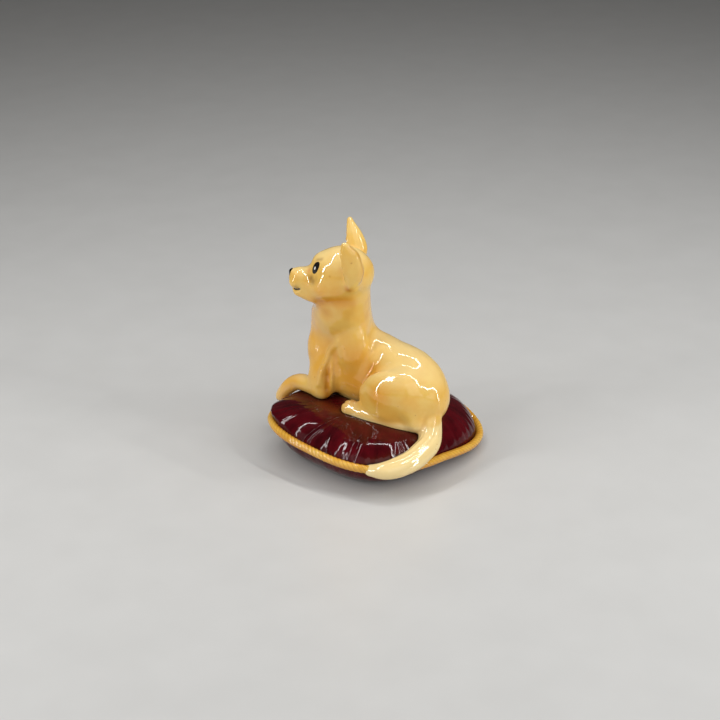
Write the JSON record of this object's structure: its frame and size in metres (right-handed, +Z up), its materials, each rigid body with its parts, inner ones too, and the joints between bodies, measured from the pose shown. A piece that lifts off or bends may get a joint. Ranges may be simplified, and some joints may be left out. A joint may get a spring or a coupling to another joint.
{
  "type": "dog figurine",
  "caption": "Glazed porcelain chihuahua lying on a gathered cushion with a twisted cord trim, cast as one small ornament that stands on its flat underside.",
  "frame": {"origin": "middle of the figurine's outline seen from above, on the ground that its flat underside stands on", "axes": "+Z up to the tip of the ears, -Y the way that the dog's body and front paws point, +X the dog's own left, to which its head is turned"},
  "size_m": [0.0592, 0.0598, 0.07],
  "materials": {
    "glazed_porcelain": "High-gloss clear glaze over sprayed amber cream and brown on the dog, deep maroon on the cushion and ochre on the cord"
  },
  "bodies": {
    "root": {"chihuahua_on_cushion": "glazed_porcelain"}
  },
  "joints": []
}
